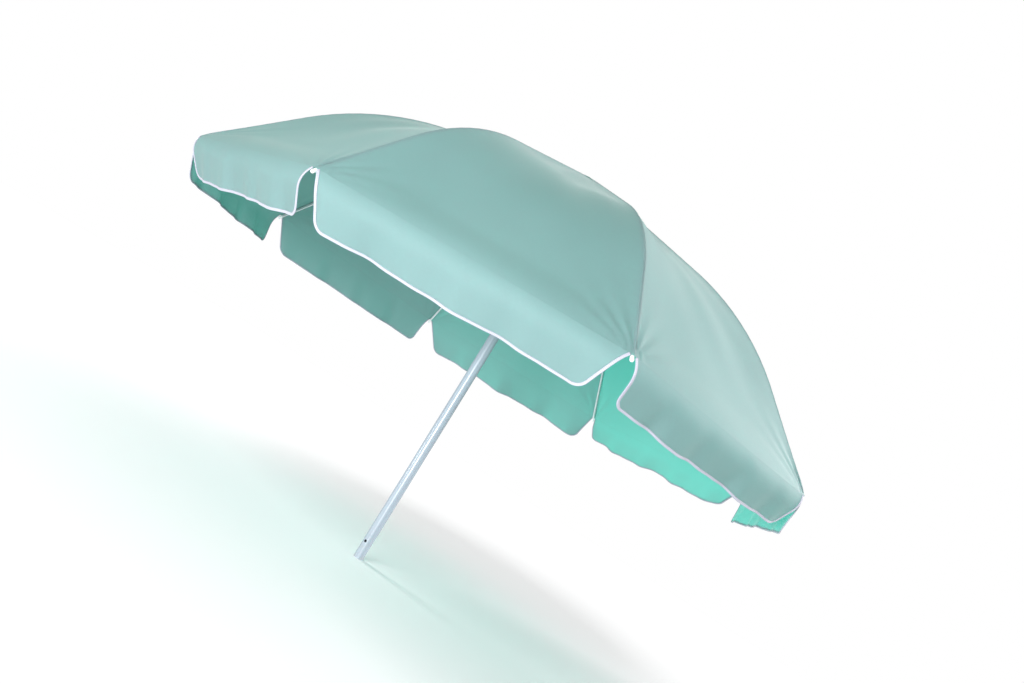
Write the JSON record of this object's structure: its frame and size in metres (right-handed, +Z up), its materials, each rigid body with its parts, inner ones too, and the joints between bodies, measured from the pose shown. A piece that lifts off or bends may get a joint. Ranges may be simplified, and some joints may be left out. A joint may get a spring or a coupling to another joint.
{
  "type": "beach umbrella",
  "caption": "Open beach umbrella on its upper pole: arched canopy of sewn gores with slit valance flaps, ribs, stretchers, a sliding runner and a spring catch.",
  "frame": {"origin": "centre of the pole's lower end, on the pole's axis", "axes": "+Z up along the pole from its lower end to the crown; +X from the pole toward rib 1"},
  "size_m": [1.6162, 1.586, 1.0478],
  "materials": {
    "canopy_cloth": "matt woven polyester, mint green",
    "pole_paint": "satin pale blue-grey paint on steel tube",
    "rib_paint": "satin light grey paint on steel",
    "bare_steel": "plain zinc-plated steel",
    "white_plastic": "moulded white plastic",
    "cream_plastic": "moulded cream plastic"
  },
  "bodies": {
    "pole": {"pole_tube": "pole_paint", "pole_end_plug": "cream_plastic", "crown_hub": "white_plastic", "crown_ring": "bare_steel", "crown_pin": "bare_steel", "crown_patch": "canopy_cloth", "crown_cap": "white_plastic"},
    "catch": {"spring_catch": "bare_steel"},
    "runner": {"runner_sleeve": "white_plastic", "runner_ring": "bare_steel"},
    "rib_arm_1": {"rib_1": "rib_paint", "rib_tip_1": "white_plastic"},
    "rib_arm_2": {"rib_2": "rib_paint", "rib_tip_2": "white_plastic"},
    "rib_arm_3": {"rib_3": "rib_paint", "rib_tip_3": "white_plastic"},
    "rib_arm_4": {"rib_4": "rib_paint", "rib_tip_4": "white_plastic"},
    "rib_arm_5": {"rib_5": "rib_paint", "rib_tip_5": "white_plastic"},
    "rib_arm_6": {"rib_6": "rib_paint", "rib_tip_6": "white_plastic"},
    "rib_arm_7": {"rib_7": "rib_paint", "rib_tip_7": "white_plastic"},
    "rib_arm_8": {"rib_8": "rib_paint", "rib_tip_8": "white_plastic"},
    "stretcher_arm_1": {"stretcher_1": "rib_paint", "stretcher_rivet_1": "bare_steel"},
    "stretcher_arm_2": {"stretcher_2": "rib_paint", "stretcher_rivet_2": "bare_steel"},
    "stretcher_arm_3": {"stretcher_3": "rib_paint", "stretcher_rivet_3": "bare_steel"},
    "stretcher_arm_4": {"stretcher_4": "rib_paint", "stretcher_rivet_4": "bare_steel"},
    "stretcher_arm_5": {"stretcher_5": "rib_paint", "stretcher_rivet_5": "bare_steel"},
    "stretcher_arm_6": {"stretcher_6": "rib_paint", "stretcher_rivet_6": "bare_steel"},
    "stretcher_arm_7": {"stretcher_7": "rib_paint", "stretcher_rivet_7": "bare_steel"},
    "stretcher_arm_8": {"stretcher_8": "rib_paint", "stretcher_rivet_8": "bare_steel"},
    "gore_cloth_1": {"gore_1": "canopy_cloth"},
    "gore_cloth_2": {"gore_2": "canopy_cloth"},
    "gore_cloth_3": {"gore_3": "canopy_cloth"},
    "gore_cloth_4": {"gore_4": "canopy_cloth"},
    "gore_cloth_5": {"gore_5": "canopy_cloth"},
    "gore_cloth_6": {"gore_6": "canopy_cloth"},
    "gore_cloth_7": {"gore_7": "canopy_cloth"},
    "gore_cloth_8": {"gore_8": "canopy_cloth"},
    "flap_cloth_1": {"valance_1": "canopy_cloth"},
    "flap_cloth_2": {"valance_2": "canopy_cloth"},
    "flap_cloth_3": {"valance_3": "canopy_cloth"},
    "flap_cloth_4": {"valance_4": "canopy_cloth"},
    "flap_cloth_5": {"valance_5": "canopy_cloth"},
    "flap_cloth_6": {"valance_6": "canopy_cloth"},
    "flap_cloth_7": {"valance_7": "canopy_cloth"},
    "flap_cloth_8": {"valance_8": "canopy_cloth"}
  },
  "joints": [
    {"name": "runner_slide", "type": "slide", "parent": "pole", "child": "runner", "axis": [0, 0, -1], "range_m": [0, 0.4704], "deforming": ["spring_catch", "gore_1", "gore_2", "gore_3", "gore_4", "gore_5", "gore_6", "gore_7", "gore_8", "valance_1", "valance_2", "valance_3", "valance_4", "valance_5", "valance_6", "valance_7", "valance_8"]},
    {"name": "catch_press", "type": "slide", "parent": "pole", "child": "catch", "axis": [-1, 0, 0], "range_m": [0, 0.0042], "stiffness_N_per_m": 900, "springref_m": -0.002},
    {"name": "rib_fold_1", "type": "hinge", "parent": "pole", "child": "rib_arm_1", "pos_m": [0.028, 0, 1.03369], "axis": [0, 1, 0], "range_deg": [0, 57.05]},
    {"name": "rib_fold_2", "type": "hinge", "parent": "pole", "child": "rib_arm_2", "pos_m": [0.0198, 0.0198, 1.03369], "axis": [-0.7071, 0.7071, 0], "range_deg": [0, 57.05]},
    {"name": "rib_fold_3", "type": "hinge", "parent": "pole", "child": "rib_arm_3", "pos_m": [0, 0.028, 1.03369], "axis": [-1, 0, 0], "range_deg": [0, 57.05]},
    {"name": "rib_fold_4", "type": "hinge", "parent": "pole", "child": "rib_arm_4", "pos_m": [-0.0198, 0.0198, 1.03369], "axis": [-0.7071, -0.7071, 0], "range_deg": [0, 57.05]},
    {"name": "rib_fold_5", "type": "hinge", "parent": "pole", "child": "rib_arm_5", "pos_m": [-0.028, 0, 1.03369], "axis": [0, -1, 0], "range_deg": [0, 57.05]},
    {"name": "rib_fold_6", "type": "hinge", "parent": "pole", "child": "rib_arm_6", "pos_m": [-0.0198, -0.0198, 1.03369], "axis": [0.7071, -0.7071, 0], "range_deg": [0, 57.05]},
    {"name": "rib_fold_7", "type": "hinge", "parent": "pole", "child": "rib_arm_7", "pos_m": [0, -0.028, 1.03369], "axis": [1, 0, 0], "range_deg": [0, 57.05]},
    {"name": "rib_fold_8", "type": "hinge", "parent": "pole", "child": "rib_arm_8", "pos_m": [0.0198, -0.0198, 1.03369], "axis": [0.7071, 0.7071, 0], "range_deg": [0, 57.05]},
    {"name": "stretcher_fold_1", "type": "hinge", "parent": "runner", "child": "stretcher_arm_1", "pos_m": [0.02366, 0, 0.74284], "axis": [0, -1, 0], "range_deg": [0, 47.88]},
    {"name": "stretcher_fold_2", "type": "hinge", "parent": "runner", "child": "stretcher_arm_2", "pos_m": [0.01673, 0.01673, 0.74284], "axis": [0.7071, -0.7071, 0], "range_deg": [0, 47.88]},
    {"name": "stretcher_fold_3", "type": "hinge", "parent": "runner", "child": "stretcher_arm_3", "pos_m": [0, 0.02366, 0.74284], "axis": [1, 0, 0], "range_deg": [0, 47.88]},
    {"name": "stretcher_fold_4", "type": "hinge", "parent": "runner", "child": "stretcher_arm_4", "pos_m": [-0.01673, 0.01673, 0.74284], "axis": [0.7071, 0.7071, 0], "range_deg": [0, 47.88]},
    {"name": "stretcher_fold_5", "type": "hinge", "parent": "runner", "child": "stretcher_arm_5", "pos_m": [-0.02366, 0, 0.74284], "axis": [0, 1, 0], "range_deg": [0, 47.88]},
    {"name": "stretcher_fold_6", "type": "hinge", "parent": "runner", "child": "stretcher_arm_6", "pos_m": [-0.01673, -0.01673, 0.74284], "axis": [-0.7071, 0.7071, 0], "range_deg": [0, 47.88]},
    {"name": "stretcher_fold_7", "type": "hinge", "parent": "runner", "child": "stretcher_arm_7", "pos_m": [0, -0.02366, 0.74284], "axis": [-1, 0, 0], "range_deg": [0, 47.88]},
    {"name": "stretcher_fold_8", "type": "hinge", "parent": "runner", "child": "stretcher_arm_8", "pos_m": [0.01673, -0.01673, 0.74284], "axis": [-0.7071, -0.7071, 0], "range_deg": [0, 47.88]},
    {"name": "gore_fold_1", "type": "hinge", "parent": "pole", "child": "gore_cloth_1", "pos_m": [0.0239, 0.0099, 1.03369], "axis": [-0.3827, 0.9239, 0], "range_deg": [0, 54.05]},
    {"name": "gore_fold_2", "type": "hinge", "parent": "pole", "child": "gore_cloth_2", "pos_m": [0.0099, 0.0239, 1.03369], "axis": [-0.9239, 0.3827, 0], "range_deg": [0, 54.05]},
    {"name": "gore_fold_3", "type": "hinge", "parent": "pole", "child": "gore_cloth_3", "pos_m": [-0.0099, 0.0239, 1.03369], "axis": [-0.9239, -0.3827, 0], "range_deg": [0, 54.05]},
    {"name": "gore_fold_4", "type": "hinge", "parent": "pole", "child": "gore_cloth_4", "pos_m": [-0.0239, 0.0099, 1.03369], "axis": [-0.3827, -0.9239, 0], "range_deg": [0, 54.05]},
    {"name": "gore_fold_5", "type": "hinge", "parent": "pole", "child": "gore_cloth_5", "pos_m": [-0.0239, -0.0099, 1.03369], "axis": [0.3827, -0.9239, 0], "range_deg": [0, 54.05]},
    {"name": "gore_fold_6", "type": "hinge", "parent": "pole", "child": "gore_cloth_6", "pos_m": [-0.0099, -0.0239, 1.03369], "axis": [0.9239, -0.3827, 0], "range_deg": [0, 54.05]},
    {"name": "gore_fold_7", "type": "hinge", "parent": "pole", "child": "gore_cloth_7", "pos_m": [0.0099, -0.0239, 1.03369], "axis": [0.9239, 0.3827, 0], "range_deg": [0, 54.05]},
    {"name": "gore_fold_8", "type": "hinge", "parent": "pole", "child": "gore_cloth_8", "pos_m": [0.0239, -0.0099, 1.03369], "axis": [0.3827, 0.9239, 0], "range_deg": [0, 54.05]},
    {"name": "flap_swing_1", "type": "hinge", "parent": "gore_cloth_1", "child": "flap_cloth_1", "pos_m": [0.67431, 0.27931, 0.616], "axis": [0.3827, -0.9239, 0], "range_deg": [0, 81.77]},
    {"name": "flap_swing_2", "type": "hinge", "parent": "gore_cloth_2", "child": "flap_cloth_2", "pos_m": [0.27931, 0.67431, 0.616], "axis": [0.9239, -0.3827, 0], "range_deg": [0, 65.53]},
    {"name": "flap_swing_3", "type": "hinge", "parent": "gore_cloth_3", "child": "flap_cloth_3", "pos_m": [-0.27931, 0.67431, 0.616], "axis": [0.9239, 0.3827, 0], "range_deg": [0, 42.57]},
    {"name": "flap_swing_4", "type": "hinge", "parent": "gore_cloth_4", "child": "flap_cloth_4", "pos_m": [-0.67431, 0.27931, 0.616], "axis": [0.3827, 0.9239, 0], "range_deg": [0, 26.33]},
    {"name": "flap_swing_5", "type": "hinge", "parent": "gore_cloth_5", "child": "flap_cloth_5", "pos_m": [-0.67431, -0.27931, 0.616], "axis": [-0.3827, 0.9239, 0], "range_deg": [0, 26.33]},
    {"name": "flap_swing_6", "type": "hinge", "parent": "gore_cloth_6", "child": "flap_cloth_6", "pos_m": [-0.27931, -0.67431, 0.616], "axis": [-0.9239, 0.3827, 0], "range_deg": [0, 42.57]},
    {"name": "flap_swing_7", "type": "hinge", "parent": "gore_cloth_7", "child": "flap_cloth_7", "pos_m": [0.27931, -0.67431, 0.616], "axis": [-0.9239, -0.3827, 0], "range_deg": [0, 65.53]},
    {"name": "flap_swing_8", "type": "hinge", "parent": "gore_cloth_8", "child": "flap_cloth_8", "pos_m": [0.67431, -0.27931, 0.616], "axis": [-0.3827, -0.9239, 0], "range_deg": [0, 81.77]}
  ],
  "couplings": [
    {"joint": "rib_fold_1", "follows": "runner_slide", "rad_per_m": 2.1149},
    {"joint": "rib_fold_2", "follows": "runner_slide", "rad_per_m": 2.1149},
    {"joint": "rib_fold_3", "follows": "runner_slide", "rad_per_m": 2.1149},
    {"joint": "rib_fold_4", "follows": "runner_slide", "rad_per_m": 2.1149},
    {"joint": "rib_fold_5", "follows": "runner_slide", "rad_per_m": 2.1149},
    {"joint": "rib_fold_6", "follows": "runner_slide", "rad_per_m": 2.1149},
    {"joint": "rib_fold_7", "follows": "runner_slide", "rad_per_m": 2.1149},
    {"joint": "rib_fold_8", "follows": "runner_slide", "rad_per_m": 2.1149},
    {"joint": "stretcher_fold_1", "follows": "runner_slide", "rad_per_m": 1.7748},
    {"joint": "stretcher_fold_2", "follows": "runner_slide", "rad_per_m": 1.7748},
    {"joint": "stretcher_fold_3", "follows": "runner_slide", "rad_per_m": 1.7748},
    {"joint": "stretcher_fold_4", "follows": "runner_slide", "rad_per_m": 1.7748},
    {"joint": "stretcher_fold_5", "follows": "runner_slide", "rad_per_m": 1.7748},
    {"joint": "stretcher_fold_6", "follows": "runner_slide", "rad_per_m": 1.7748},
    {"joint": "stretcher_fold_7", "follows": "runner_slide", "rad_per_m": 1.7748},
    {"joint": "stretcher_fold_8", "follows": "runner_slide", "rad_per_m": 1.7748},
    {"joint": "gore_fold_1", "follows": "runner_slide", "rad_per_m": 2.0036},
    {"joint": "gore_fold_2", "follows": "runner_slide", "rad_per_m": 2.0036},
    {"joint": "gore_fold_3", "follows": "runner_slide", "rad_per_m": 2.0036},
    {"joint": "gore_fold_4", "follows": "runner_slide", "rad_per_m": 2.0036},
    {"joint": "gore_fold_5", "follows": "runner_slide", "rad_per_m": 2.0036},
    {"joint": "gore_fold_6", "follows": "runner_slide", "rad_per_m": 2.0036},
    {"joint": "gore_fold_7", "follows": "runner_slide", "rad_per_m": 2.0036},
    {"joint": "gore_fold_8", "follows": "runner_slide", "rad_per_m": 2.0036},
    {"joint": "flap_swing_1", "follows": "runner_slide", "rad_per_m": 3.0319},
    {"joint": "flap_swing_2", "follows": "runner_slide", "rad_per_m": 2.4295},
    {"joint": "flap_swing_3", "follows": "runner_slide", "rad_per_m": 1.5776},
    {"joint": "flap_swing_4", "follows": "runner_slide", "rad_per_m": 0.9752},
    {"joint": "flap_swing_5", "follows": "runner_slide", "rad_per_m": 0.9752},
    {"joint": "flap_swing_6", "follows": "runner_slide", "rad_per_m": 1.5776},
    {"joint": "flap_swing_7", "follows": "runner_slide", "rad_per_m": 2.4295},
    {"joint": "flap_swing_8", "follows": "runner_slide", "rad_per_m": 3.0319}
  ]
}
